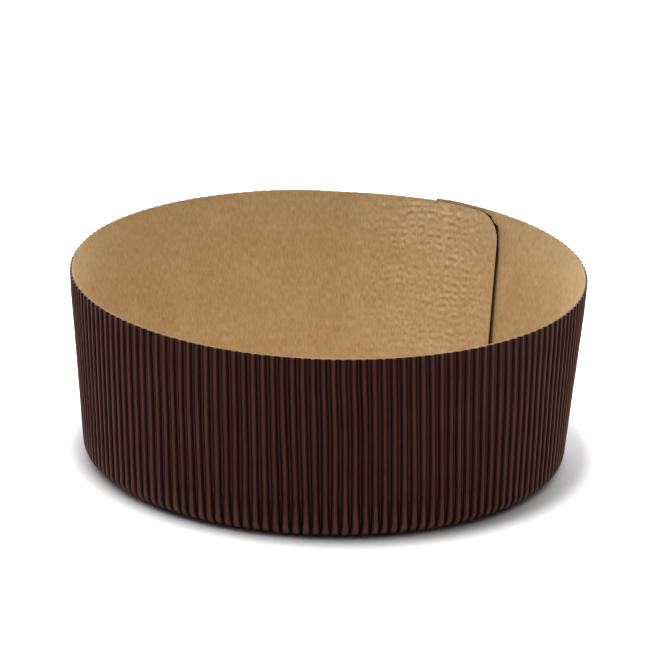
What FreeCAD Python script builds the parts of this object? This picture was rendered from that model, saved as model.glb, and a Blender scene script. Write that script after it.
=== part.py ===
"""Low round baking mould of single-faced corrugated paper.

The side is one strip of board: a smooth kraft liner glued to a fluted dark paper, with the flutes
upright and facing out. The strip is rolled into a slightly tapered ring and glued in a lap. Its outer
end stops at the seam azimuth. Its inner end eases inwards by the thickness of the pressed board, passes
inside the outer end and stops in a flap with rounded corners. Paper doesn't stretch, so the flutes stay
parallel down the tapered wall and lean away from the place opposite the seam; towards the seam they are
gathered instead. Under the base the whole strip turns in to a flat hem, where the flutes are pressed
flatter, and a round board disc lies on the hem.

The frame is in millimetres: +Z is up along the axis of the ring, the origin is on the table at that
axis, and the flap lies at the back right, between +X and +Y. A place along the strip is counted in
flutes from its outer end, clockwise as seen from above.
"""

import FreeCAD, Part
import math
import os

# Driving dimensions of the ring
rim_diameter = 170.0        # over the flute crests at the rim
base_diameter = 158.4       # where the slope of the wall would meet the table
height = 63.0
bottom_radius = 7.0         # outside radius of the turn from the wall to the hem
hem_width = 10.0            # from the end of the turn to the raw inner edge of the hem

# Driving dimensions of the board
flute_pitch = 3.24          # wanted spacing of the crests along the rim
flute_height = 1.0          # from the liner to the crests, on the wall
hem_flute_height = 0.6      # the same under the base, where the hem is pressed
seam_flute_height = 0.6     # the same in the lap, where the seam is pressed
crest_share = 0.3           # width of a flute's top as a share of the pitch
fluted_paper = 0.2          # thickness of the fluted paper
liner_paper = 0.25          # thickness of the liner
liner_facet = 2             # flutes that one flat facet of the liner spans
glue_line = 0.02            # between two glued faces

# Driving dimensions of the seam, the flap and the disc
seam_azimuth = 66.2         # of the strip's outer end, in degrees from +X towards +Y
lap_length = 26.7           # along the rim, from the outer end to the end of the flap
easing_length = 101.0       # along the rim, over which the inner end eases inwards before the lap
pressed_lead = 30.0         # how far ahead of the lap the inner end is already pressed
pressing_fade = 9.0         # length over which the pressed flutes regain their height
lap_clearance = 0.1         # between the flap and the outer end
flap_corner = 9.0           # radius of the flap's two corners
flap_reach = 2.5            # how much farther the flap reaches at its bottom than at its top
parallel_reach = 110.0      # degrees to each side of the place opposite the seam with parallel flutes
butt_gap = 0.1              # between the two ends of the hem
disc_board = 0.5            # thickness of the disc
disc_clearance = 0.4        # from the disc's edge to where the liner starts to rise

rim_radius = rim_diameter / 2
base_radius = base_diameter / 2
wall_slope = math.atan2(rim_radius - base_radius, height)

# The strip's length in flutes
flutes_round = round(math.pi * rim_diameter / flute_pitch)
pitch = math.pi * rim_diameter / flutes_round
easing_flutes = round(easing_length / pitch)
even_flutes = flutes_round - easing_flutes
flap_end = flutes_round + round(lap_length / pitch)

# The inner end runs on an arc of its own, which leaves the ring's circle tangentially. The arc's centre
# is shifted, so the arc spans a little more than the flutes would to end at the seam azimuth.
pitch_angle = 360.0 / flutes_round
easing_azimuth = seam_azimuth - even_flutes * pitch_angle
lap_offset = seam_flute_height + liner_paper + lap_clearance
shift_along = lap_offset / math.tan(math.radians(easing_flutes * pitch_angle / 2))
easing_span = easing_flutes * pitch_angle + math.degrees((shift_along - butt_gap) / rim_radius)
easing_pitch_angle = easing_span / easing_flutes
easing_drop = lap_offset / (1 - math.cos(math.radians(easing_span)))

# The turn's centre keeps its arc tangent to the wall and to the table
turn_centre = base_radius - bottom_radius * (1 - math.sin(wall_slope)) / math.cos(wall_slope)
taper = (base_radius + math.tan(wall_slope) * bottom_radius) / rim_radius
half_turn = math.radians(45)

# The mitre keeps the fluted paper equally thick on its flanks and at its crests
flank_run = (1 - crest_share) / 2 * pitch
flank_angle = math.atan2(flute_height - fluted_paper, flank_run)
crest_mitre = fluted_paper / 2 * math.tan(flank_angle / 2) / pitch
outer_crest = crest_share / 2 + crest_mitre
inner_crest = crest_share / 2 - crest_mitre


class Level:
    """A level of the board: the crests' place in the (radius, z) plane, the direction that they face
    there, the flutes' height, the taper of the board and whether the seam press reaches it."""

    def __init__(self, crest, facing, flute, scale=1.0, pressed=False):
        self.crest = crest
        self.facing = facing
        self.flute = flute
        self.scale = scale
        self.pressed = pressed

    def at(self, rise):
        """The (radius, z) point at a height above the liner's outer face."""
        back = self.flute - rise
        return self.crest[0] - back * self.facing[0], self.crest[1] - back * self.facing[1]


facing_out = (1.0, 0.0)
facing_down = (0.0, -1.0)
facing_between = (math.cos(half_turn), -math.sin(half_turn))


def wall_level(below_rim):
    """The level of the wall at a depth below the rim, where the whole board tapers with the wall."""
    scale = 1 - (1 - taper) * below_rim / (height - bottom_radius)
    crest = (rim_radius * scale, height - below_rim)
    return Level(crest, facing_out, flute_height * scale, scale, pressed=True)


mid_turn = Level(
    (turn_centre + bottom_radius * facing_between[0], bottom_radius * (1 + facing_between[1])),
    facing_between, (flute_height * taper + hem_flute_height) / 2)
hem_outer = Level((turn_centre, 0.0), facing_down, hem_flute_height)
hem_inner = Level((turn_centre - hem_width, 0.0), facing_down, hem_flute_height)


def ring_levels(along):
    """The levels of the ring, the same all round: the wall, the turn and the hem."""
    return [wall_level(0.0), wall_level(height - bottom_radius), mid_turn, hem_outer, hem_inner]


def flap_levels(along):
    """The top and the bottom of the flap, which has the wall's height less its rounded corners."""
    into_corner = max(0.0, flap_corner - (flap_end - along) * pitch)
    lost = flap_corner - math.sqrt(flap_corner ** 2 - into_corner ** 2)
    return [wall_level(lost), wall_level(height - bottom_radius - lost)]


def smooth(share):
    """The share held between 0 and 1, with a smooth start and end."""
    held = min(1.0, max(0.0, share))
    return held * held * (3 - 2 * held)


def lean(along):
    """How many degrees farther round the foot of the wall lies than the rim at a place along the strip."""
    if along > flutes_round:
        into_flap = (along - flutes_round) / (flap_end - flutes_round)
        return -math.degrees(flap_reach / (rim_radius * taper)) * into_flap
    from_opposite = 180.0 - along * pitch_angle
    parallel = smooth((180.0 - abs(from_opposite)) / (180.0 - parallel_reach))
    return from_opposite * (1 / taper - 1) * parallel


def placed(point, along):
    """The (radius, z) point as a vector, on the ring's circle or on the inner end's own arc."""
    radius, z = point
    start = math.radians(easing_azimuth)
    down = min(1.0, (height - z) / (height - bottom_radius))
    if along <= even_flutes:
        angle = math.radians(seam_azimuth - along * pitch_angle + lean(along) * down)
        shift = 0.0
    else:
        angle = start - math.radians((along - even_flutes) * easing_pitch_angle - lean(along) * down)
        shift = easing_drop
    return FreeCAD.Vector(
        shift * math.cos(start) + (radius - shift) * math.cos(angle),
        shift * math.sin(start) + (radius - shift) * math.sin(angle),
        z)


def press_share(along):
    """1 where the seam press has flattened the flutes, 0 where it has not, with a ramp between."""
    from_outer_end = along * pitch
    before_lap = (flutes_round - along) * pitch
    outer_share = (lap_length + pressing_fade - from_outer_end) / pressing_fade
    inner_share = (pressed_lead + pressing_fade - before_lap) / pressing_fade
    return min(1.0, max(0.0, outer_share, inner_share))


def flute_columns(first, last):
    """Where the fluted paper bends: its outer and its inner face's place along the strip, and whether
    the bend is at a crest. A flute has a pointed valley and a flat crest."""
    columns = []
    for flute in range(first, last):
        middle = flute + 0.5
        columns.append((flute, flute, False))
        columns.append((middle - outer_crest, middle - inner_crest, True))
        columns.append((middle + outer_crest, middle + inner_crest, True))
    columns.append((last, last, False))
    return columns


def flute_points(level, column):
    """The outer and the inner face's points of the fluted paper at a level and a bend."""
    outer_along, inner_along, is_crest = column
    paper = fluted_paper * level.scale
    glue = glue_line * level.scale
    if is_crest:
        lost = 1 - seam_flute_height / flute_height
        outer_rise = level.flute * (1 - lost * press_share((outer_along + inner_along) / 2) * level.pressed)
        inner_rise = outer_rise - paper
    else:
        outer_rise = glue + paper / math.cos(flank_angle)
        inner_rise = glue
    return placed(level.at(outer_rise), outer_along), placed(level.at(inner_rise), inner_along)


def liner_columns(first, last):
    """Where the liner bends, at the glued valleys of every few flutes."""
    places = list(range(first, last, liner_facet)) + [last]
    return [(along, along, False) for along in places]


def liner_points(level, column):
    """The outer and the inner face's points of the liner at a level and a bend."""
    along = column[0]
    return placed(level.at(0.0), along), placed(level.at(-liner_paper), along)


def panel(a, b, c, d):
    """One flat face through four corners, or two triangles where the four are twisted. Their fold is
    the diagonal nearer the axis, so that the liner stays clear of the valleys outside it."""
    normal = (b - a).cross(c - a)
    flatness = 1e-9
    if abs((d - a).dot(normal)) < flatness * normal.Length:
        return [Part.Face(Part.makePolygon([a, b, c, d, a]))]
    further_in = math.hypot(a.x + c.x, a.y + c.y) - math.hypot(b.x + d.x, b.y + d.y)
    if further_in > 1e-6:
        a, b, c, d = b, c, d, a
    return [
        Part.Face(Part.makePolygon([a, b, c, a])),
        Part.Face(Part.makePolygon([a, c, d, a]))]


def sheet(columns, levels, points):
    """A closed length of paper: a stack of outer and inner points at each bend, joined by panels over
    both faces, along the top and bottom edges and across the two ends."""
    stacks = [[points(level, column) for level in levels((column[0] + column[1]) / 2)] for column in columns]
    faces = []
    for left, right in zip(stacks, stacks[1:]):
        for side in (0, 1):
            for level in range(len(left) - 1):
                faces += panel(
                    left[level][side], right[level][side], right[level + 1][side], left[level + 1][side])
        for edge in (0, -1):
            faces += panel(left[edge][0], right[edge][0], right[edge][1], left[edge][1])
    for end in (stacks[0], stacks[-1]):
        for upper, lower in zip(end, end[1:]):
            faces += panel(upper[0], upper[1], lower[1], lower[0])
    solid = Part.Solid(Part.makeShell(faces))
    if solid.Volume < 0:
        solid.reverse()
    return solid


def fluted_wall():
    """The fluted paper: a full ring down to the hem, and the flap."""
    ring = sheet(flute_columns(0, flutes_round), ring_levels, flute_points)
    return ring.fuse(sheet(flute_columns(flutes_round, flap_end), flap_levels, flute_points))


def wall_liner():
    """The liner behind it. The ring and the inner end each start a facet of their own."""
    bends = liner_columns(0, even_flutes)[:-1] + liner_columns(even_flutes, flutes_round)
    ring = sheet(bends, ring_levels, liner_points)
    return ring.fuse(sheet(liner_columns(flutes_round, flap_end), flap_levels, liner_points))


def base_disc():
    """The board disc, glued to the upper side of the hem."""
    seat = hem_flute_height + liner_paper + glue_line
    radius = turn_centre - lap_offset - disc_clearance
    return Part.makeCylinder(radius, disc_board, FreeCAD.Vector(0, 0, seat))


def main():
    os.makedirs("parts", exist_ok=True)
    for name, build in (("fluted_wall", fluted_wall), ("wall_liner", wall_liner), ("base_disc", base_disc)):
        shape = build()
        print(name, len(shape.Solids), "solid", len(shape.Faces), "faces", round(shape.Volume, 1), "mm3")
        shape.exportStep(os.path.join("parts", name + ".step"))


main()
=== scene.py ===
"""Looks of a low round baking mould made of single-faced corrugated paper.

Three pieces stand on a white table: the dark fluted paper outside, the kraft liner inside and the board
disc in the base. Both papers are one strip, rolled into a ring and lapped at the back right. Lengths are
in metres. A place along the strip is counted in flutes from its outer end, clockwise as seen from above.
"""

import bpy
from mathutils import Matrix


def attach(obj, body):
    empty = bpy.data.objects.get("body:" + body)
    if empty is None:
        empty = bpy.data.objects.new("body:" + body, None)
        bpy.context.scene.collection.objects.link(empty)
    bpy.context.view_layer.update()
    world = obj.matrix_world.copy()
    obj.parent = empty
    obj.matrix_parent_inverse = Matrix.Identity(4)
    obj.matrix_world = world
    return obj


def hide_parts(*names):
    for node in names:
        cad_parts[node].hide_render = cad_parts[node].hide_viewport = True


bl_info = {
    "name": "Corrugated paper baking mould",
    "version": (1, 0, 0),
    "blender": (4, 5, 0),
    "location": "View3D > Sidebar > Baking mould",
    "description": "Makes a low round baking mould of fluted paper with a kraft liner and a board disc",
    "category": "Object",
}

import math
from typing import NamedTuple

import bpy
import numpy as np
from bpy.props import FloatProperty, FloatVectorProperty, PointerProperty
from mathutils import Matrix, Vector

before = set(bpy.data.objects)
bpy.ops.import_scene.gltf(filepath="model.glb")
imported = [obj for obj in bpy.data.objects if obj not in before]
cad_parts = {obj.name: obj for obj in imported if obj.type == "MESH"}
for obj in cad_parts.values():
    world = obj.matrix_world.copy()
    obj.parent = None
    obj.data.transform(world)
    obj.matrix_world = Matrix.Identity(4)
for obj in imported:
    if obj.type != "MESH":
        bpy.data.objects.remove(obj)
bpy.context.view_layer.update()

MM = 0.001


class Unevenness(NamedTuple):
    """Smooth noise over the strip: how far one cloud reaches across, in flutes or in metres as the place
    is given, how far it reaches down, and its seed."""

    across: float
    down: float
    seed: int

    def at(self, place, depth):
        """The noise from -1 to 1 at each place and depth."""
        return cloud(place / self.across, depth / self.down, self.seed)


LEANING = Unevenness(5.0, 26 * MM, 3)
FINE_LEANING = Unevenness(1.3, 19 * MM, 4)
MARK_PATCHES = Unevenness(2.3, 7 * MM, 5)
CREST_WIDTHS = Unevenness(1.0, 30 * MM, 11)
CREST_HEIGHTS = Unevenness(1.0, 40 * MM, 12)
BULGES = Unevenness(9.0, 30 * MM, 21)
TONES = Unevenness(1.0, 45 * MM, 31)
ROW_WANDER = Unevenness(5.5 * MM, 6.5 * MM, 42)
COLUMN_WANDER = Unevenness(4.2 * MM, 3.1 * MM, 41)
CRUMPLES = Unevenness(1.0 * MM, 0.8 * MM, 43)
RIDGE_WANDER = Unevenness(1.0 * MM, 5 * MM, 45)

# Where the seam's forms begin and end, or their middle and reach, in degrees of azimuth.
OUTER_SPRING_START = -5.0
OUTER_SPRING_SPAN = 71.0
OUTER_RELAXED = (61.0, 65.5)
FLAP_SPRUNG = (80.0, 62.0)
FLATTENED = (86.2, 8.2)
LEFT_BULGED = (150.0, 18.0)
MARKS_FROM = (91.0, 68.9)
MARKS_TO = (47.5, 59.0)
FLAP_SUNK = (84.2, 67.0)
RIDGE_MIDDLE = 61.5
RIDGE_WIDTH = 0.5

RISE_POWER = 1.5  # how late the rim's forms fade in up the wall, and the flap's lift along it
LIFT_FLUTES = 5
FREE_EDGE_FLUTES = (2.5, 1.0)
FLAP_BOTTOM_GAP = 0.4 * MM
CRUSHED_DEPTH = 2 * MM
WALL_BULGE = 0.12 * MM
SHARP_ANGLE = math.radians(42)

# Bands of faces down the wall, round the turn and across the hem, and places along a flute.
FLUTED_BANDS = (7, 7, 3)
LINER_BANDS = (104, 6, 3)
FLUTE_BENDS = (0.0, 0.12, 0.20, 0.25, 0.29, 0.33, 0.39, 0.5, 0.61, 0.67, 0.71, 0.75, 0.80, 0.88)
FLAP_CORNER_BENDS = (0.004, 0.02, 0.055)
FINE_LINER_FLUTES = 16
LINER_PLACES_PER_FLUTE = 7
LINER_CORNER_BENDS = 16

ROW_SPACING = 2.5 * MM
COLUMN_SPACING = 3.4 * MM


class Finish(NamedTuple):
    """How strongly a paper's clouds, grain and specks show, how rough it is, how strong the grain's bump
    is and how much it shines."""

    cloud: float
    grain: float
    specks: float
    roughness: float
    bump: float
    specular: float


DARK_PAPER = Finish(cloud=0.10, grain=0.14, specks=0.05, roughness=0.6, bump=0.5, specular=0.04)
DARK_EDGE = Finish(cloud=0.15, grain=0.2, specks=0.1, roughness=0.8, bump=0.5, specular=0.08)
DARK_BACK = Finish(cloud=0.1, grain=0.1, specks=0.05, roughness=0.8, bump=0.5, specular=0.08)
KRAFT_PAPER = Finish(cloud=0.18, grain=0.34, specks=0.12, roughness=0.75, bump=0.8, specular=0.3)
KRAFT_EDGE = Finish(cloud=0.1, grain=0.2, specks=0.1, roughness=0.85, bump=0.5, specular=0.08)
KRAFT_BOARD = Finish(cloud=0.11, grain=0.12, specks=0.06, roughness=0.75, bump=0.8, specular=0.3)
DARK_SHEEN = 0.04
DARK_SHEEN_TINT = (1.0, 0.7, 0.6, 1.0)
BUMP_DISTANCE = 0.05 * MM

# Heights on a flute where the flanks' painted shade turns into the valleys' and crests' painted highlights,
# and the shoulder's share of that.
VALLEY_HEIGHTS = (0.016, 0.003)
SHOULDER_HEIGHTS = (0.2, 0.6)
CREST_HIGHLIGHT_HEIGHTS = (0.72, 1.03)
SHOULDER_SHARE = 0.28

# Each lamp's size across and along and its place, by the setting that has its power.
LAMPS = {
    "overhead": ((1.4, 1.4), (-0.05, -0.05, 1.3)),
    "key": ((0.26, 0.26), (-0.05, -0.09, 1.3)),
    "back": ((5.0, 0.8), (-0.12, 1.4, 0.75)),
}
LAMP_AIM = (0.0, 0.0, 0.03)
SENSOR_WIDTH = 36.0
CLIP_START = 0.05
CLIP_END = 50.0
TABLE_REACH = 6.0
TABLE_ROUGHNESS = 0.9
SKY_HEIGHTS = (0.1, 0.9)
WHITE = (1.0, 1.0, 1.0, 1.0)


def length(name, description, default):
    """A length property in metres."""
    return FloatProperty(name=name, description=description, default=default, unit="LENGTH", precision=5)


def share(name, description, default):
    """A share or strength, with no unit."""
    return FloatProperty(name=name, description=description, default=default)


def angle(name, description, degrees):
    """An angle property, with its default in degrees."""
    return FloatProperty(name=name, description=description, default=math.radians(degrees), subtype="ANGLE")


def power(name, description, default):
    """A lamp's power in watts."""
    return FloatProperty(name=name, description=description, default=default, unit="POWER")


def colour(name, description, default):
    """A linear colour property."""
    return FloatVectorProperty(
        name=name, description=description, default=default, subtype="COLOR", size=3, min=0.0, max=1.0)


class BoardSizes(bpy.types.PropertyGroup):
    """Sizes of the ring and of the corrugated board that it is rolled from."""

    rim_diameter: length("Rim diameter", "Over the flute crests at the rim", 170.0 * MM)
    base_diameter: length("Base diameter", "Where the wall's slope would meet the table", 158.4 * MM)
    height: length("Height", "From the table to the rim", 63.0 * MM)
    bottom_radius: length("Bottom radius", "Outside radius of the turn to the hem", 5.0 * MM)
    hem_width: length("Hem width", "From the end of the turn to the hem's raw edge", 11.8 * MM)
    flute_pitch: length("Flute pitch", "Wanted spacing of the crests along the rim", 3.24 * MM)
    flute_height: length("Flute height", "From the liner to the crests on the wall", 1.0 * MM)
    hem_flute_height: length("Hem flute height", "The same under the base", 0.6 * MM)
    seam_flute_height: length("Seam flute height", "The same in the pressed lap", 0.6 * MM)
    fluted_paper: length("Fluted paper", "Thickness of the fluted paper", 0.2 * MM)
    liner_paper: length("Liner paper", "Thickness of the liner", 0.25 * MM)
    glue_line: length("Glue line", "Between two glued faces", 0.02 * MM)
    flank_steepness: share("Flank steepness", "How sharply a flute rises from valley to crest", 1.9)
    crest_bias: share("Crest bias", "How much wider a crest is than a valley on the wall", -0.35)
    rim_crush: share("Rim crush", "Share of the flutes' height that the cutter has crushed at the rim", 0.25)
    hem_crest_bias: share("Hem crest bias", "The same where the flutes are gathered under the base", 0.75)
    flute_lean: share("Flute lean", "How far the flutes wander sideways, in flutes", 0.10)


class SeamSizes(bpy.types.PropertyGroup):
    """Sizes of the lap, of the flap and of the press marks."""

    azimuth: angle("Seam azimuth", "Of the outer end, from +X towards +Y", 65.4)
    parallel_reach: angle("Parallel reach", "To each side of the place opposite the seam", 110.0)
    lap_length: length("Lap length", "From the outer end to the end of the flap", 26.7 * MM)
    easing_length: length("Easing length", "Over which the inner end eases inwards", 101.0 * MM)
    pressed_lead: length("Pressed lead", "How far ahead of the lap the board is pressed", 30.0 * MM)
    pressing_fade: length("Pressing fade", "Over which the flutes regain their height", 9.0 * MM)
    lap_clearance: length("Lap clearance", "Between the flap and the outer end", 0.1 * MM)
    flap_corner: length("Flap corner", "Radius of the flap's corners", 9.0 * MM)
    flap_reach: length("Flap reach", "How much farther it reaches at its bottom than at its top", 3.6 * MM)
    flap_sink: length("Flap sink", "How much lower than the rim the flap's top edge lies", 0.5 * MM)
    butt_gap: length("Butt gap", "Between the two ends of the hem", 0.1 * MM)
    outer_spring: length("Outer spring", "How far the outer end springs out at the rim", 2.6 * MM)
    flap_spring: length("Flap spring", "How far the flap follows it", 2.2 * MM)
    flap_lift: length("Flap lift", "How far the flap's free edge stands in from the wall", 0.5 * MM)
    flattening: length("Flattening", "How far the stiff board ahead of the lap lies in at the rim", 1.3 * MM)
    bare_end: length("Bare end", "How far the fluted paper passes the liner on the flap", 0.4 * MM)
    left_bulge: length("Left bulge", "How far the rim stands out at the back left", 0.3 * MM)
    knurl_depth: length("Knurl depth", "Height of the dimples that the press leaves", 0.16 * MM)


class PaperColours(bpy.types.PropertyGroup):
    """Linear colours of the papers, several of them with painted light and shade."""

    # Painted highlight: the crests are paler for the light and the table's reflection that fall on them.
    crest: colour("Crests", "Dark paper on the flutes' crests", (0.086, 0.0258, 0.0160))
    # Painted shade: near black on the flanks, for the shade in the narrow grooves.
    flank: colour("Flanks", "Dark paper on the flutes' flanks", (0.0035, 0.0008, 0.0005))
    # Weaker painted highlight on the valley floors, between the flanks' painted shade and the crests'
    # highlight.
    valley: colour("Valleys", "Dark paper between the flutes", (0.042, 0.0130, 0.0095))
    # Painted highlight: the crests are paler at the bottom fold, for the table's light on their rounded tips.
    fold: colour("Fold", "Dark paper on the crests at the bottom fold", (0.125, 0.054, 0.038))
    back: colour("Back", "Undyed back of the fluted paper", (0.42, 0.32, 0.20))
    dark_edge: colour("Fluted cut edge", "Raw edge of the fluted paper", (0.10, 0.06, 0.038))
    kraft: colour("Kraft", "Liner and disc", (0.455, 0.327, 0.174))
    kraft_edge: colour("Kraft cut edge", "Raw edge of the liner", (0.23, 0.155, 0.085))
    # Painted shade: near black round the flap, for the shadow in the gap at its edges.
    flap_edge_shade: colour("Flap's cut edge", "Both papers' raw edges round the flap", (0.03, 0.013, 0.005))
    press: colour("Press marks", "Liner where the seam was pressed", (0.53, 0.403, 0.243))


class StudioSettings(bpy.types.PropertyGroup):
    """Camera, lamps and table."""

    camera_place: FloatVectorProperty(
        name="Camera place", description="Centre of the lens",
        default=(0.00194, -1.85704, 0.71163), subtype="TRANSLATION", precision=5)
    camera_pitch: angle("Camera pitch", "Below the horizon", 19.842)
    camera_roll: angle("Camera roll", "About its own axis", 1.742)
    lens: share("Lens", "Focal length in mm on a 36 mm wide sensor", 324.9)
    table: colour("Table", "White table", (0.8, 0.8, 0.8))
    near_table: length("Near table", "Out to where the table only shows the light that falls on it", 0.6)
    far_table: length("Far table", "From where it shows as white, however little light falls there", 1.5)
    sky: share("Sky", "Strength of the soft light from straight above", 0.12)
    horizon: share("Horizon", "Strength of the soft light from the sides", 0.02)
    overhead: power("Overhead lamp", "Power of the soft lamp above", 6.0)
    key: power("Key lamp", "Power of the small lamp above", 22.0)
    back: power("Back lamp", "Power of the wide lamp behind", 84.0)


def cloud(across, down, seed):
    """Smooth noise from -1 to 1: seeded values on a whole-number lattice, blended by a smooth step."""
    columns = int(across.max() - across.min()) + 3
    rows = int(down.max() - down.min()) + 3
    lattice = np.random.default_rng(seed).uniform(-1.0, 1.0, (rows, columns))
    x, y = across - across.min(), down - down.min()
    column, row = x.astype(int), y.astype(int)
    s, t = x - column, y - row
    s, t = s * s * (3 - 2 * s), t * t * (3 - 2 * t)
    near = lattice[row, column] * (1 - s) + lattice[row, column + 1] * s
    far = lattice[row + 1, column] * (1 - s) + lattice[row + 1, column + 1] * s
    return near * (1 - t) + far * t


def ramp(value, start, end):
    """0 before start, 1 after end and a smooth step between. start may be the greater of the two."""
    t = np.clip((value - start) / (end - start), 0.0, 1.0)
    return t * t * (3 - 2 * t)


def hump(value, middle, reach):
    """A smooth bell, 1 in the middle."""
    return np.exp(-((value - middle) / reach) ** 2)


class Strip:
    """The strip of board: where its two arcs run, how its levels follow the wall, the turn and the hem,
    and what the seam does to it. Arrays have a row for each level and a column for each place."""

    def __init__(self, board, seam):
        self.board = board
        self.seam = seam
        self.rim_radius = board.rim_diameter / 2
        base_radius = board.base_diameter / 2
        self.flutes_round = round(math.pi * board.rim_diameter / board.flute_pitch)
        self.pitch = math.pi * board.rim_diameter / self.flutes_round
        self.easing_flutes = round(seam.easing_length / self.pitch)
        self.even_flutes = self.flutes_round - self.easing_flutes
        self.flap_flutes = round(seam.lap_length / self.pitch)
        self.flap_end = self.flutes_round + self.flap_flutes
        self.pitch_angle = 2 * math.pi / self.flutes_round
        self.easing_azimuth = seam.azimuth - self.even_flutes * self.pitch_angle
        lap_offset = board.seam_flute_height + board.liner_paper + seam.lap_clearance
        easing_angle = self.easing_flutes * self.pitch_angle
        shift_along = lap_offset / math.tan(easing_angle / 2)
        self.easing_span = easing_angle + (shift_along - seam.butt_gap) / self.rim_radius
        self.easing_drop = lap_offset / (1 - math.cos(self.easing_span))
        self.slope = math.atan2(self.rim_radius - base_radius, board.height)
        turn_height = board.bottom_radius * (1 - math.sin(self.slope))
        self.turn_centre = base_radius - turn_height / math.cos(self.slope)
        self.wall_length = (board.height - turn_height) / math.cos(self.slope)
        self.turn_length = board.bottom_radius * (math.pi / 2 - self.slope)
        self.whole_length = self.wall_length + self.turn_length + board.hem_width
        self.foot_radius = base_radius + math.tan(self.slope) * board.bottom_radius

    def azimuth(self, along):
        """Direction of the strip's own arc: the ring's circle first, and then the inner end's arc. The
        flap's flutes share its length evenly."""
        spare = 1 - self.seam.lap_length / (self.flap_flutes * self.pitch)
        eased_along = along - self.even_flutes - spare * np.maximum(along - self.flutes_round, 0.0)
        eased = self.easing_azimuth - eased_along * self.easing_span / self.easing_flutes
        return np.where(along <= self.even_flutes, self.seam.azimuth - along * self.pitch_angle, eased)

    def inner_end(self, along):
        """Whether a place lies on the half of the strip that ends in the flap."""
        return along > self.flutes_round / 2

    def seam_azimuth(self, along):
        """The azimuth in degrees, turned so that both ends read as they do at the seam."""
        return np.degrees(self.azimuth(along)) + np.where(self.inner_end(along), 360.0, 0.0)

    def lean(self, along):
        """How far round the foot of the wall lies from the rim. The flutes stay parallel, as paper doesn't
        stretch, and so they lean away from the place opposite the seam; towards the seam they are
        gathered instead. The flap reaches farther at its bottom."""
        into_flap = (along - self.flutes_round) / (self.flap_end - self.flutes_round)
        from_opposite = math.pi - along * self.pitch_angle
        parallel = ramp(math.pi - np.abs(from_opposite), 0.0, math.pi - self.seam.parallel_reach)
        round_wall = from_opposite * (self.rim_radius / self.foot_radius - 1) * parallel
        return np.where(into_flap > 0, -self.seam.flap_reach / self.foot_radius * into_flap, round_wall)

    def spring(self, along):
        """How far the rim stands out from its arc: the outer end springs out, the flap follows it, and
        the stiff board just ahead of the lap lies in. At the back left the rim bulges out a little."""
        azimuth = self.seam_azimuth(along)
        sprung = np.clip((azimuth - OUTER_SPRING_START) / OUTER_SPRING_SPAN, 0.0, 1.0)
        outer = self.seam.outer_spring * sprung ** 1.1
        outer = outer * (1 - 0.28 * ramp(azimuth, *OUTER_RELAXED))
        flap = self.seam.flap_spring * ramp(azimuth, *FLAP_SPRUNG)
        flat = self.seam.flattening * hump(azimuth, *FLATTENED)
        left = self.seam.left_bulge * hump(azimuth, *LEFT_BULGED)
        return np.where(self.inner_end(along), flap - flat + left, outer)

    def pressed(self, along):
        """1 where the seam press has flattened the flutes, 0 where it has not, with a ramp between."""
        seam = self.seam
        after = along * self.pitch
        before = (self.flutes_round - along) * self.pitch
        outer = ramp(after, seam.lap_length + seam.pressing_fade, seam.lap_length)
        inner = ramp(before, seam.pressed_lead + seam.pressing_fade, seam.pressed_lead)
        first, last = FREE_EDGE_FLUTES
        free_edge = ramp(along, self.flap_end - first, self.flap_end - last)
        return np.maximum(outer, inner) * (1 - free_edge)

    def knurled(self, along, depth):
        """How strongly the press marks show inside: most ahead of the lap, fading out to both sides."""
        azimuth = self.seam_azimuth(along)
        across = ramp(azimuth, *MARKS_FROM) * (0.3 + 0.7 * ramp(azimuth, *MARKS_TO))
        down = 1.0 - 0.35 * ramp(depth, 0.7 * self.wall_length, self.wall_length)
        patches = 0.75 + 0.35 * MARK_PATCHES.at(along, depth)
        return np.where(self.inner_end(along) & (depth <= self.wall_length), across * down * patches, 0.0)

    def corner_loss(self, along):
        """How much of the flap is cut away above and below by its rounded corners."""
        corner = self.seam.flap_corner
        into = np.clip(corner - (self.flap_end - along) * self.pitch, 0.0, corner)
        return corner - np.sqrt(corner ** 2 - into ** 2)

    def sink(self, along):
        """How much the top edge sinks from the rim towards the flap."""
        sunk = ramp(self.seam_azimuth(along), *FLAP_SUNK)
        return self.seam.flap_sink * np.where(self.inner_end(along), sunk, 0.0)

    def depths(self, along, wall_bands, turn_bands, hem_bands, short=0.0):
        """Depth of each level below the rim, measured down the profile, for each place. Levels of the
        wall spread evenly between the top and bottom edge that the flap's corners leave. short is how
        many flutes before the flap's end the sheet stops."""
        loss = self.corner_loss(along + short)
        top = loss + self.sink(along)
        flap_bottom = self.wall_length - loss - FLAP_BOTTOM_GAP
        bottom = np.where(along > self.flutes_round, flap_bottom, self.wall_length)
        down = np.linspace(0.0, 1.0, wall_bands + 1)[:, None]
        wall = top + (bottom - top) * down
        beyond = np.linspace(0.0, self.turn_length, turn_bands + 1)[1:, None]
        turn = self.wall_length + beyond + 0 * along
        inwards = np.linspace(0.0, self.board.hem_width, hem_bands + 1)[1:, None]
        hem = self.wall_length + self.turn_length + inwards + 0 * along
        return np.vstack([wall, turn, hem])

    def kept(self, along, wall_bands, all_bands):
        """Which cells of the grid are paper: all of them on the ring, and the wall's only on the flap."""
        middle = (along[:-1] + along[1:]) / 2
        band = np.arange(all_bands)[:, None]
        return (middle < self.flutes_round) | (band < wall_bands)

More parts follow.
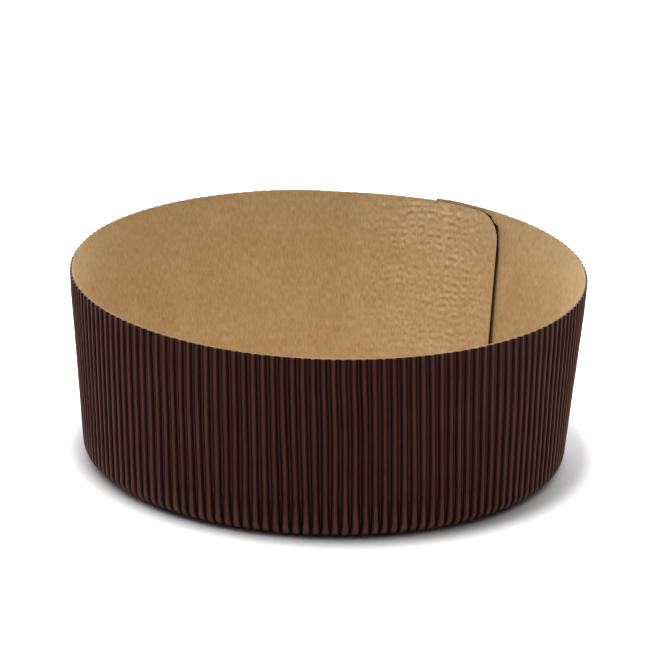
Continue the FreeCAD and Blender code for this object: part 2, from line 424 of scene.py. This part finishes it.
    def crest_line(self, depth):
        """The crests' (radius, z) at a depth and the direction that they face: straight down the slope,
        round the turn's arc and inwards along the table."""
        board = self.board
        in_turn = np.clip(depth - self.wall_length, 0.0, self.turn_length)
        in_hem = np.clip(depth - self.wall_length - self.turn_length, 0.0, None)
        down_wall = np.minimum(depth, self.wall_length)
        facing = -(self.slope + in_turn / board.bottom_radius)
        on_wall = depth <= self.wall_length
        radius = np.where(
            on_wall,
            self.rim_radius - down_wall * math.sin(self.slope),
            self.turn_centre + board.bottom_radius * np.cos(facing) - in_hem)
        z = np.where(
            on_wall,
            board.height - down_wall * math.cos(self.slope),
            board.bottom_radius * (1 + np.sin(facing)))
        return radius, z, np.cos(facing), np.sin(facing)

    def flute(self, along, depth):
        """Height of the flutes: pressed flatter in the hem, and besides that in the lap above it and at
        the crushed rim."""
        board = self.board
        under = ramp(depth, self.wall_length - 1 * MM, self.wall_length + self.turn_length)
        height = board.flute_height + (board.hem_flute_height - board.flute_height) * under
        lost = 1 - board.seam_flute_height / board.flute_height
        kept_in_lap = 1 - lost * self.pressed(along) * (1 - under)
        kept_at_rim = 1 - board.rim_crush * ramp(depth, CRUSHED_DEPTH, 0.0)
        return height, height * (kept_in_lap * kept_at_rim)

    def bulge(self, along, depth):
        """How far the wall wanders out and in, slowly along the strip."""
        return WALL_BULGE * BULGES.at(along, depth)

    def points(self, along, depth, rise, bulge):
        """Points at a height above the liner's outer face. The rim's spring fades out down the wall."""
        radius, z, out, up = self.crest_line(depth)
        back = self.flute(along, depth)[0] - rise
        radius = radius - back * out
        z = z - back * up
        board = self.board
        rise_share = np.clip(z / board.height, 0.0, 1.0) ** RISE_POWER
        lift_share = np.clip((along - self.flap_end) / LIFT_FLUTES + 1, 0.0, 1.0) ** RISE_POWER
        radius = radius + (self.spring(along) + bulge) * rise_share
        radius = radius - self.seam.flap_lift * lift_share
        down = np.clip((board.height - z) / (board.height - board.bottom_radius), 0.0, 1.0)
        direction = self.azimuth(along) + self.lean(along) * down
        shift = np.where(along <= self.even_flutes, 0.0, self.easing_drop)
        x = shift * math.cos(self.easing_azimuth) + (radius - shift) * np.cos(direction)
        y = shift * math.sin(self.easing_azimuth) + (radius - shift) * np.sin(direction)
        return np.stack([x, y, z], axis=-1)


def the_strip(context):
    """The strip worked out from the sizes that are set in the scene."""
    return Strip(context.scene.mould_board, context.scene.mould_seam)


def sheet_object(name, outer, inner, keep, along, depth, strip, values):
    """A closed sheet of paper from a grid of points on its outer face and one on its inner face. Cells
    that are not kept are left out, and every edge that they leave bare gets a strip across the paper's
    thickness, which is the cut edge. The outside, the cut edge and the inside are material 0, 1 and 2.
    values are point attributes, given on the grid."""
    rows, columns = keep.shape
    count = (rows + 1) * (columns + 1)
    index = np.arange(count).reshape(rows + 1, columns + 1)
    a, b = index[:-1, :-1], index[:-1, 1:]
    c, d = index[1:, 1:], index[1:, :-1]
    outside = np.stack([a, b, c, d], axis=-1)[keep]
    inside = outside[:, ::-1] + count
    padded = np.pad(keep, 1)
    bare = [
        (padded[:-2, 1:-1], a, b),
        (padded[1:-1, 2:], b, c),
        (padded[2:, 1:-1], c, d),
        (padded[1:-1, :-2], d, a)]
    cuts = []
    for neighbour, start, end in bare:
        edge = keep & ~neighbour
        s, e = start[edge], end[edge]
        cuts.append(np.stack([e, s, s + count, e + count], axis=-1))
    cut = np.concatenate(cuts)
    faces = np.concatenate([outside, inside, cut])
    used, faces = np.unique(faces, return_inverse=True)
    faces = faces.reshape(-1, 4)
    points = np.concatenate([outer.reshape(-1, 3), inner.reshape(-1, 3)])[used]

    mesh = bpy.data.meshes.new(name)
    mesh.vertices.add(len(points))
    mesh.vertices.foreach_set("co", points.astype(np.float32).ravel())
    mesh.loops.add(faces.size)
    mesh.loops.foreach_set("vertex_index", faces.astype(np.int32).ravel())
    mesh.polygons.add(len(faces))
    mesh.polygons.foreach_set("loop_start", np.arange(0, faces.size, 4, dtype=np.int32))
    material = np.repeat([0, 2, 1], [len(outside), len(inside), len(cut)]).astype(np.int32)
    mesh.polygons.foreach_set("material_index", material)
    mesh.polygons.foreach_set("use_smooth", np.ones(len(faces), dtype=bool))

    across = np.broadcast_to(along / strip.flap_end, depth.shape)
    down = depth / strip.whole_length
    both = [np.concatenate([grid.ravel(), grid.ravel()])[used] for grid in (across, down)]
    uv = np.stack(both, axis=-1)[faces.ravel()]
    mesh.uv_layers.new(name="board").data.foreach_set("uv", uv.astype(np.float32).ravel())
    for key, grid in values.items():
        whole = np.broadcast_to(grid, depth.shape).ravel()
        attribute = mesh.attributes.new(key, "FLOAT", "POINT")
        attribute.data.foreach_set("value", np.concatenate([whole, whole])[used].astype(np.float32))
    mesh.update(calc_edges=True)
    mesh.validate()
    mesh.set_sharp_from_angle(angle=SHARP_ANGLE)
    piece = bpy.data.objects.new(name, mesh)
    bpy.context.scene.collection.objects.link(piece)
    return piece


def wave(place, steepness, bias):
    """Height of the fluted paper from 0 in a valley to 1 on a crest: a cosine with a crest midway
    between whole numbers, pushed through a hyperbolic tangent that widens the crests by the bias."""
    swing = -np.cos(2 * math.pi * place)
    low = np.tanh(steepness * (bias - 1))
    high = np.tanh(steepness * (bias + 1))
    return (np.tanh(steepness * (swing + bias)) - low) / (high - low)


def make_fluted_wall(context):
    """The fluted paper. Its middle line in the section of the board is the wave, and its two faces lie
    half the paper's thickness to each side of that line, square to it."""
    strip = the_strip(context)
    board = strip.board
    along = (np.arange(math.ceil(strip.flap_end))[:, None] + np.array(FLUTE_BENDS)).ravel()
    corner = strip.flap_end - strip.seam.flap_corner / strip.pitch * np.array(FLAP_CORNER_BENDS)
    along = np.unique(np.concatenate([along[along < strip.flap_end], corner, [strip.flap_end]]))
    depth = strip.depths(along, *FLUTED_BANDS)
    keep = strip.kept(along, FLUTED_BANDS[0], sum(FLUTED_BANDS))
    wide_along = np.broadcast_to(along, depth.shape)

    under = ramp(depth, strip.wall_length - 4 * MM, strip.wall_length + 0.6 * strip.turn_length)
    bias = board.crest_bias + (board.hem_crest_bias - board.crest_bias) * under
    bias = bias + 0.10 * CREST_WIDTHS.at(wide_along, depth)
    lean = LEANING.at(wide_along, depth) + 0.45 * FINE_LEANING.at(wide_along, depth)
    lean = board.flute_lean * lean * ramp(depth, -6 * MM, 8 * MM)
    inset = ramp(wide_along, 0.0, 2.0) * ramp(wide_along, strip.flap_end, strip.flap_end - 2.0)
    placed_along = wide_along + lean * inset

    height = strip.flute(wide_along, depth)[1]
    height = height * (1 - 0.06 * (1 + CREST_HEIGHTS.at(wide_along, depth)) / 2)
    swing = height - board.fluted_paper - board.glue_line
    radius = strip.crest_line(depth)[0]
    local_pitch = strip.pitch * radius / strip.rim_radius
    step = 0.01
    crest = wave(wide_along, board.flank_steepness, bias)
    grade = (wave(wide_along + step, board.flank_steepness, bias)
             - wave(wide_along - step, board.flank_steepness, bias)) / (2 * step)
    grade = grade * swing / local_pitch
    square = np.sqrt(1 + grade ** 2)
    middle = board.glue_line + board.fluted_paper / 2 + crest * swing
    half = board.fluted_paper / 2
    bulge = strip.bulge(wide_along, depth)
    faces = []
    for side in (1, -1):
        shifted = placed_along - side * half * grade / square / local_pitch
        shifted = np.clip(shifted, 0.0, strip.flap_end)
        faces.append(strip.points(shifted, depth, middle + side * half / square, bulge))
    values = {
        # On the flap's last half flute the height is set low, so that it takes the flanks' painted shade.
        "crest": np.where(wide_along > strip.flap_end - 0.5, 0.08, crest),
        # Where the crests take the bottom fold's paler painted highlight.
        "fold": ramp(depth, strip.wall_length - 3 * MM, strip.wall_length + 0.3 * strip.turn_length),
        "tone": TONES.at(np.floor(wide_along), depth),
        # Where the fluted paper's cut edge and back take the flap's painted shade.
        "bare": wide_along > strip.flutes_round + 1.0,
    }
    return sheet_object("fluted_paper", faces[0], faces[1], keep, along, depth, strip, values)


def knurl(strip, along, depth):
    """Dimples of the seam press: two crossing waves, wandering with smooth noise so that the rows run
    unevenly, and a ridge where the outer end's edge shows through."""
    across = along * strip.pitch
    wander_down = 0.45 * ROW_WANDER.at(across, depth)
    wander_across = 0.6 * COLUMN_WANDER.at(across, depth)
    rows = np.cos(2 * math.pi * (depth / ROW_SPACING + wander_down + 0.08 * across / ROW_SPACING))
    columns = np.cos(2 * math.pi * (across / COLUMN_SPACING + wander_across))
    marks = 0.3 * rows + 0.5 * rows * columns + 0.7 * CRUMPLES.at(across, depth)
    line = RIDGE_MIDDLE - 0.25 * RIDGE_WANDER.at(across * 0, depth)
    ridge = hump(strip.seam_azimuth(along), line, RIDGE_WIDTH) * ramp(depth, 26 * MM, 12 * MM)
    return marks, ridge * strip.inner_end(along)


def make_wall_liner(context):
    """The liner: a smooth sheet behind the flutes, with a fine grid where the press has dimpled it."""
    strip = the_strip(context)
    board = strip.board
    seam = strip.seam
    fine_start = strip.even_flutes + FINE_LINER_FLUTES
    even = np.arange(0.0, fine_start)
    liner_end = strip.flap_end - seam.bare_end / strip.pitch
    fine = np.arange(fine_start, liner_end, 1 / LINER_PLACES_PER_FLUTE)
    turn = np.linspace(0.0, math.pi / 2, LINER_CORNER_BENDS)
    corner = liner_end - seam.flap_corner / strip.pitch * (1 - np.sin(turn))
    along = np.unique(np.concatenate([even, fine, corner, [strip.even_flutes, strip.flutes_round]]).round(4))
    depth = strip.depths(along, *LINER_BANDS, short=strip.flap_end - liner_end)
    keep = strip.kept(along, LINER_BANDS[0], sum(LINER_BANDS))
    wide_along = np.broadcast_to(along, depth.shape)

    press = strip.knurled(wide_along, depth)
    marks, ridge = knurl(strip, wide_along, depth)
    dimple = seam.knurl_depth * (press * marks + 1.3 * ridge)
    bulge = strip.bulge(wide_along, depth)
    outer = strip.points(wide_along, depth, 0.0, bulge)
    inner = strip.points(wide_along, depth, -board.liner_paper - dimple, bulge)
    flap = wide_along > strip.flutes_round
    # flap marks where the liner's cut edge takes the flap's painted shade.
    values = {"press": press, "mark": marks * press, "ridge": ridge, "flap": flap}
    return sheet_object("kraft_liner", outer, inner, keep, along, depth, strip, values)


def paper_group():
    """The grain shared by all the papers: clouds of pulp, fibres drawn along one way and fine specks.
    It puts out the tinted colour, a roughness and a height for a bump."""
    group = bpy.data.node_groups.new("Paper grain", "ShaderNodeTree")
    sockets = group.interface
    for name, kind, default in (
            ("Vector", "NodeSocketVector", None), ("Colour", "NodeSocketColor", (0.5, 0.5, 0.5, 1.0)),
            ("Cloud", "NodeSocketFloat", 0.1), ("Grain", "NodeSocketFloat", 0.1),
            ("Specks", "NodeSocketFloat", 0.1), ("Roughness", "NodeSocketFloat", 0.7)):
        socket = sockets.new_socket(name=name, in_out="INPUT", socket_type=kind)
        if default is not None:
            socket.default_value = default
    sockets.new_socket(name="Colour", in_out="OUTPUT", socket_type="NodeSocketColor")
    sockets.new_socket(name="Roughness", in_out="OUTPUT", socket_type="NodeSocketFloat")
    sockets.new_socket(name="Height", in_out="OUTPUT", socket_type="NodeSocketFloat")
    tree = Wiring(group)
    given = tree.add("NodeGroupInput")
    out = tree.add("NodeGroupOutput")
    vector = given.outputs["Vector"]
    large = tree.noise(vector, scale=70.0, detail=2.0)
    small = tree.noise(vector, scale=420.0, detail=3.0)
    stretched = tree.add("ShaderNodeMapping")
    stretched.inputs["Scale"].default_value = (1.0, 0.28, 1.0)
    tree.link(vector, stretched.inputs["Vector"])
    fibres = tree.noise(stretched.outputs["Vector"], scale=1500.0, detail=4.0)
    fine = tree.noise(vector, scale=1300.0, detail=2.0)
    pale, dark = tree.math("GREATER_THAN", fine, 0.70), tree.math("LESS_THAN", fine, 0.29)
    speck = tree.math("SUBTRACT", pale, dark)
    clouds = tree.math("ADD", tree.math("MULTIPLY", tree.centred(large), 0.6), tree.centred(small))
    value = tree.math("MULTIPLY_ADD", clouds, given.outputs["Cloud"], 1.0)
    value = tree.math("MULTIPLY_ADD", tree.centred(fibres), given.outputs["Grain"], value)
    value = tree.math("MULTIPLY_ADD", speck, given.outputs["Specks"], value)
    tint = tree.add("ShaderNodeHueSaturation")
    tree.link(given.outputs["Colour"], tint.inputs["Color"])
    tree.link(value, tint.inputs["Value"])
    saturation = tree.math("MULTIPLY_ADD", tree.centred(large), -0.12, 1.0)
    tree.link(saturation, tint.inputs["Saturation"])
    tree.link(tint.outputs["Color"], out.inputs["Colour"])
    rough = tree.math("MULTIPLY_ADD", tree.centred(small), 0.16, given.outputs["Roughness"])
    tree.link(rough, out.inputs["Roughness"])
    height = tree.math("MULTIPLY_ADD", tree.centred(small), 0.6, fibres)
    tree.link(height, out.inputs["Height"])
    return group


class Wiring:
    """A node tree with short ways to add and join its nodes."""

    def __init__(self, tree):
        self.tree = tree

    def add(self, kind, **settings):
        """A new node with these settings."""
        node = self.tree.nodes.new(kind)
        for key, value in settings.items():
            setattr(node, key, value)
        return node

    def link(self, source, target):
        """Join an output to an input, or set the input to a value."""
        if isinstance(source, bpy.types.NodeSocket):
            self.tree.links.new(source, target)
        else:
            target.default_value = source

    def math(self, operation, first, second=None, third=None):
        """A Math node on up to three values or sockets, and its output."""
        node = self.add("ShaderNodeMath", operation=operation)
        for socket, source in zip(node.inputs, (first, second, third)):
            if source is not None:
                self.link(source, socket)
        return node.outputs["Value"]

    def centred(self, source):
        """A value from 0 to 1 moved to lie about 0, from -1 to 1."""
        return self.math("MULTIPLY_ADD", source, 2.0, -1.0)

    def smooth_ramp(self, source, start, end):
        """0 before start, 1 after end and a smooth step between. start may be the greater of the two."""
        node = self.add("ShaderNodeMapRange", interpolation_type="SMOOTHSTEP")
        for key, value in (("Value", source), ("From Min", start), ("From Max", end)):
            self.link(value, node.inputs[key])
        return node.outputs["Result"]

    def noise(self, vector, scale, detail):
        """A noise texture's value."""
        node = self.add("ShaderNodeTexNoise")
        node.inputs["Scale"].default_value = scale
        node.inputs["Detail"].default_value = detail
        self.link(vector, node.inputs["Vector"])
        return node.outputs["Fac"]

    def attribute(self, name):
        """A point attribute's value."""
        node = self.add("ShaderNodeAttribute", attribute_name=name, attribute_type="GEOMETRY")
        return node.outputs["Fac"]

    def mix(self, factor, first, second):
        """Two colours mixed by a factor."""
        node = self.add("ShaderNodeMix", data_type="RGBA")
        colours = [socket for socket in node.inputs if socket.type == "RGBA"]
        self.link(factor, node.inputs["Factor"])
        for socket, source in zip(colours, (first, second)):
            self.link(source, socket)
        return next(socket for socket in node.outputs if socket.type == "RGBA")


def with_alpha(linear):
    """A property's colour as a socket takes it."""
    return (*linear, 1.0)


def paper_material(name, sheet_size, colour_source, finish):
    """A paper: the shared grain over a colour, and a bump from the grain. sheet_size is the sheet's real
    length and width where it has a UV map, and None where the grain reads Object coordinates."""
    material = bpy.data.materials.new(name)
    material.use_nodes = True
    tree = Wiring(material.node_tree)
    shader = material.node_tree.nodes["Principled BSDF"]
    if sheet_size:
        place = tree.add("ShaderNodeUVMap", uv_map="board").outputs["UV"]
        mapping = tree.add("ShaderNodeMapping")
        mapping.inputs["Scale"].default_value = (*sheet_size, 1.0)
        tree.link(place, mapping.inputs["Vector"])
        vector = mapping.outputs["Vector"]
    else:
        vector = tree.add("ShaderNodeTexCoord").outputs["Object"]
    group = bpy.data.node_groups.get("Paper grain") or paper_group()
    grain = tree.add("ShaderNodeGroup", node_tree=group)
    tree.link(vector, grain.inputs["Vector"])
    tree.link(colour_source(tree), grain.inputs["Colour"])
    grain.inputs["Cloud"].default_value = finish.cloud
    grain.inputs["Grain"].default_value = finish.grain
    grain.inputs["Specks"].default_value = finish.specks
    grain.inputs["Roughness"].default_value = finish.roughness
    tree.link(grain.outputs["Colour"], shader.inputs["Base Color"])
    tree.link(grain.outputs["Roughness"], shader.inputs["Roughness"])
    bump = tree.add("ShaderNodeBump")
    bump.inputs["Strength"].default_value = finish.bump
    bump.inputs["Distance"].default_value = BUMP_DISTANCE
    tree.link(grain.outputs["Height"], bump.inputs["Height"])
    tree.link(bump.outputs["Normal"], shader.inputs["Normal"])
    shader.inputs["Specular IOR Level"].default_value = finish.specular
    return material


def board_sheet_size(strip):
    """Length and width of the strip, which its UV map spans."""
    return strip.flap_end * strip.pitch, strip.whole_length


def flute_colour(colours):
    """Dark paper with painted light: painted shade on the flanks, a painted highlight on the crests, a weaker
    one in the valleys and a paler one on the crests at the bottom fold; a little uneven from flute to flute."""
    def source(tree):
        height = tree.attribute("crest")
        uneven = tree.math("MULTIPLY_ADD", tree.attribute("tone"), 0.05, height)
        shoulder = tree.math("MULTIPLY", tree.smooth_ramp(uneven, *SHOULDER_HEIGHTS), SHOULDER_SHARE)
        # Painted highlight on the crests, with a weaker share on the shoulders.
        highlight_and_wear = tree.smooth_ramp(uneven, *CREST_HIGHLIGHT_HEIGHTS)
        crest = tree.math("MULTIPLY_ADD", highlight_and_wear, 1 - SHOULDER_SHARE, shoulder)
        # The flanks' painted shade, giving way to the valleys' weaker painted highlight at the bottom.
        valley = tree.smooth_ramp(height, *VALLEY_HEIGHTS)
        low = tree.mix(valley, with_alpha(colours.flank), with_alpha(colours.valley))
        # The crests' painted highlight, paler at the bottom fold.
        high = tree.mix(tree.attribute("fold"), with_alpha(colours.crest), with_alpha(colours.fold))
        return tree.mix(crest, low, high)
    return source


def liner_colour(colours):
    """Kraft, greyer and paler where the seam press has worn it."""
    def source(tree):
        pressed = tree.math("MULTIPLY", tree.attribute("press"), 0.35)
        highlight_and_wear = tree.math("MULTIPLY_ADD", tree.attribute("mark"), 0.28, pressed)
        highlight_and_wear = tree.math("MULTIPLY_ADD", tree.attribute("ridge"), 1.1, highlight_and_wear)
        clamped = tree.math("MINIMUM", tree.math("MAXIMUM", highlight_and_wear, 0.0), 1.0)
        return tree.mix(clamped, with_alpha(colours.kraft), with_alpha(colours.press))
    return source


def flap_shaded_colour(linear, colours):
    """A colour with painted shade on the flap, where the fluted paper passes the liner, for the shadow in the
    gap at the flap's edges.
    """
    def source(tree):
        return tree.mix(tree.attribute("bare"), with_alpha(linear), with_alpha(colours.flap_edge_shade))
    return source


def liner_edge_colour(colours):
    """The liner's raw edge, with painted shade round the flap."""
    def source(tree):
        return tree.mix(tree.attribute("flap"), with_alpha(colours.kraft_edge), with_alpha(colours.flap_edge_shade))
    return source


def plain_colour(linear):
    """One colour all over."""
    def source(tree):
        return with_alpha(linear)
    return source


class MOULD_OT_fluted_wall(bpy.types.Operator):
    """Make the dark fluted paper of the wall, the turn and the hem"""

    bl_idname = "mould.fluted_wall"
    bl_label = "Fluted paper"

    def execute(self, context):
        colours = context.scene.mould_colours
        size = board_sheet_size(the_strip(context))
        piece = make_fluted_wall(context)
        dark = paper_material("Dark fluted paper", size, flute_colour(colours), DARK_PAPER)
        shader = dark.node_tree.nodes["Principled BSDF"]
        shader.inputs["Sheen Weight"].default_value = DARK_SHEEN
        shader.inputs["Sheen Tint"].default_value = DARK_SHEEN_TINT
        edge_colour = flap_shaded_colour(colours.dark_edge, colours)
        cut = paper_material("Fluted cut edge", size, edge_colour, DARK_EDGE)
        back_colour = flap_shaded_colour(colours.back, colours)
        back = paper_material("Fluted paper back", size, back_colour, DARK_BACK)
        for material in (dark, cut, back):
            piece.data.materials.append(material)
        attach(piece, "root")
        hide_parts("fluted_wall")
        return {"FINISHED"}


class MOULD_OT_wall_liner(bpy.types.Operator):
    """Make the kraft liner with its flap and press marks"""

    bl_idname = "mould.wall_liner"
    bl_label = "Kraft liner"

    def execute(self, context):
        colours = context.scene.mould_colours
        size = board_sheet_size(the_strip(context))
        piece = make_wall_liner(context)
        kraft = paper_material("Kraft liner", size, liner_colour(colours), KRAFT_PAPER)
        cut = paper_material("Kraft cut edge", size, liner_edge_colour(colours), KRAFT_EDGE)
        for material in (kraft, cut, kraft):
            piece.data.materials.append(material)
        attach(piece, "root")
        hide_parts("wall_liner")
        return {"FINISHED"}


class MOULD_OT_base_disc(bpy.types.Operator):
    """Give the board disc in the base its kraft finish"""

    bl_idname = "mould.base_disc"
    bl_label = "Base disc"

    def execute(self, context):
        colours = context.scene.mould_colours
        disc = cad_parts["base_disc"]
        board = paper_material("Kraft board", None, plain_colour(colours.kraft), KRAFT_BOARD)
        disc.data.materials.clear()
        disc.data.materials.append(board)
        return {"FINISHED"}


class MOULD_OT_studio(bpy.types.Operator):
    """Set up the camera, the soft lamps and the white table"""

    bl_idname = "mould.studio"
    bl_label = "Studio"

    def execute(self, context):
        scene = context.scene
        settings = scene.mould_studio
        make_camera(scene, settings)
        for key, (size, place) in LAMPS.items():
            make_lamp(scene, f"{key}_lamp", getattr(settings, key), size, place)
        make_table(scene, settings)
        make_sky(scene, settings)
        scene.view_settings.view_transform = "Standard"
        return {"FINISHED"}


def make_camera(scene, settings):
    """The camera looks along +Y, pitched down and rolled about its own axis."""
    pitch, roll = settings.camera_pitch, settings.camera_roll
    level_right = Vector((1.0, 0.0, 0.0))
    level_up = Vector((0.0, math.sin(pitch), math.cos(pitch)))
    right = math.cos(roll) * level_right + math.sin(roll) * level_up
    up = math.cos(roll) * level_up - math.sin(roll) * level_right
    back = right.cross(up)
    turned = Matrix((right, up, back)).transposed().to_4x4()
    data = bpy.data.cameras.new("camera")
    data.lens = settings.lens
    data.sensor_width = SENSOR_WIDTH
    data.clip_start = CLIP_START
    data.clip_end = CLIP_END
    camera = bpy.data.objects.new("camera", data)
    camera.matrix_world = Matrix.Translation(settings.camera_place) @ turned
    scene.collection.objects.link(camera)
    scene.camera = camera


def make_lamp(scene, name, watts, size, place):
    """A soft lamp, as wide as it is said to be across and along, that faces the middle of the mould."""
    data = bpy.data.lights.new(name, "AREA")
    data.shape = "ELLIPSE"
    data.energy = watts
    data.size, data.size_y = size
    lamp = bpy.data.objects.new(name, data)
    aim = Vector(LAMP_AIM) - Vector(place)
    lamp.matrix_world = Matrix.Translation(place) @ aim.to_track_quat("-Z", "Y").to_matrix().to_4x4()
    scene.collection.objects.link(lamp)


def seen_rays(tree):
    """1 for the rays that show the background: straight from the camera, mirrored or through glass."""
    path = tree.add("ShaderNodeLightPath")
    either = tree.math("MAXIMUM", path.outputs["Is Camera Ray"], path.outputs["Is Glossy Ray"])
    return tree.math("MAXIMUM", either, path.outputs["Is Transmission Ray"])


def make_table(scene, settings):
    """A wide white sheet under the mould. Far out it glows for the rays that show it, and joins the sky."""
    mesh = bpy.data.meshes.new("table")
    corners = [(x * TABLE_REACH, y * TABLE_REACH, 0.0) for x, y in ((-1, -1), (1, -1), (1, 1), (-1, 1))]
    mesh.from_pydata(corners, [], [(0, 1, 2, 3)])
    table = bpy.data.objects.new("table", mesh)
    scene.collection.objects.link(table)
    material = bpy.data.materials.new("White table")
    material.use_nodes = True
    tree = Wiring(material.node_tree)
    shader = material.node_tree.nodes["Principled BSDF"]
    shader.inputs["Base Color"].default_value = with_alpha(settings.table)
    shader.inputs["Roughness"].default_value = TABLE_ROUGHNESS
    shader.inputs["Emission Color"].default_value = WHITE
    distance = tree.add("ShaderNodeVectorMath", operation="LENGTH")
    tree.link(tree.add("ShaderNodeTexCoord").outputs["Object"], distance.inputs[0])
    glow = tree.smooth_ramp(distance.outputs["Value"], settings.near_table, settings.far_table)
    tree.link(tree.math("MULTIPLY", seen_rays(tree), glow), shader.inputs["Emission Strength"])
    mesh.materials.append(material)


def make_sky(scene, settings):
    """A world that is brightest overhead and that the camera sees as white."""
    world = bpy.data.worlds.new("Soft sky")
    world.use_nodes = True
    scene.world = world
    tree = Wiring(world.node_tree)
    background = world.node_tree.nodes["Background"]
    background.inputs["Color"].default_value = WHITE
    seen = seen_rays(tree)
    direction = tree.add("ShaderNodeSeparateXYZ")
    tree.link(tree.add("ShaderNodeTexCoord").outputs["Generated"], direction.inputs["Vector"])
    upward = tree.smooth_ramp(direction.outputs["Z"], *SKY_HEIGHTS)
    light = tree.math("MULTIPLY_ADD", upward, settings.sky - settings.horizon, settings.horizon)
    strength = tree.math("MAXIMUM", seen, light)
    tree.link(strength, background.inputs["Strength"])


class MOULD_PT_panel(bpy.types.Panel):
    """Lists the sizes, the colours and the pieces"""

    bl_idname = "MOULD_PT_panel"
    bl_label = "Baking mould"
    bl_space_type = "VIEW_3D"
    bl_region_type = "UI"
    bl_category = "Baking mould"

    def draw(self, context):
        scene = context.scene
        for title, group in (
                ("Board", scene.mould_board), ("Seam", scene.mould_seam),
                ("Colours", scene.mould_colours), ("Studio", scene.mould_studio)):
            box = self.layout.box()
            box.label(text=title)
            for key in group.bl_rna.properties.keys():
                if key not in ("rna_type", "name"):
                    box.prop(group, key)
        for operator in PIECES:
            self.layout.operator(operator.bl_idname)


SETTINGS = {
    "mould_board": BoardSizes,
    "mould_seam": SeamSizes,
    "mould_colours": PaperColours,
    "mould_studio": StudioSettings,
}
PIECES = (MOULD_OT_studio, MOULD_OT_fluted_wall, MOULD_OT_wall_liner, MOULD_OT_base_disc)


def register():
    for cls in (*SETTINGS.values(), *PIECES, MOULD_PT_panel):
        bpy.utils.register_class(cls)
    for name, cls in SETTINGS.items():
        setattr(bpy.types.Scene, name, PointerProperty(type=cls))


def unregister():
    for name in SETTINGS:
        delattr(bpy.types.Scene, name)
    for cls in reversed((*SETTINGS.values(), *PIECES, MOULD_PT_panel)):
        bpy.utils.unregister_class(cls)


def main():
    register()
    bpy.ops.mould.studio()
    bpy.ops.mould.fluted_wall()
    bpy.ops.mould.wall_liner()
    bpy.ops.mould.base_disc()


if __name__ == "__main__":
    main()
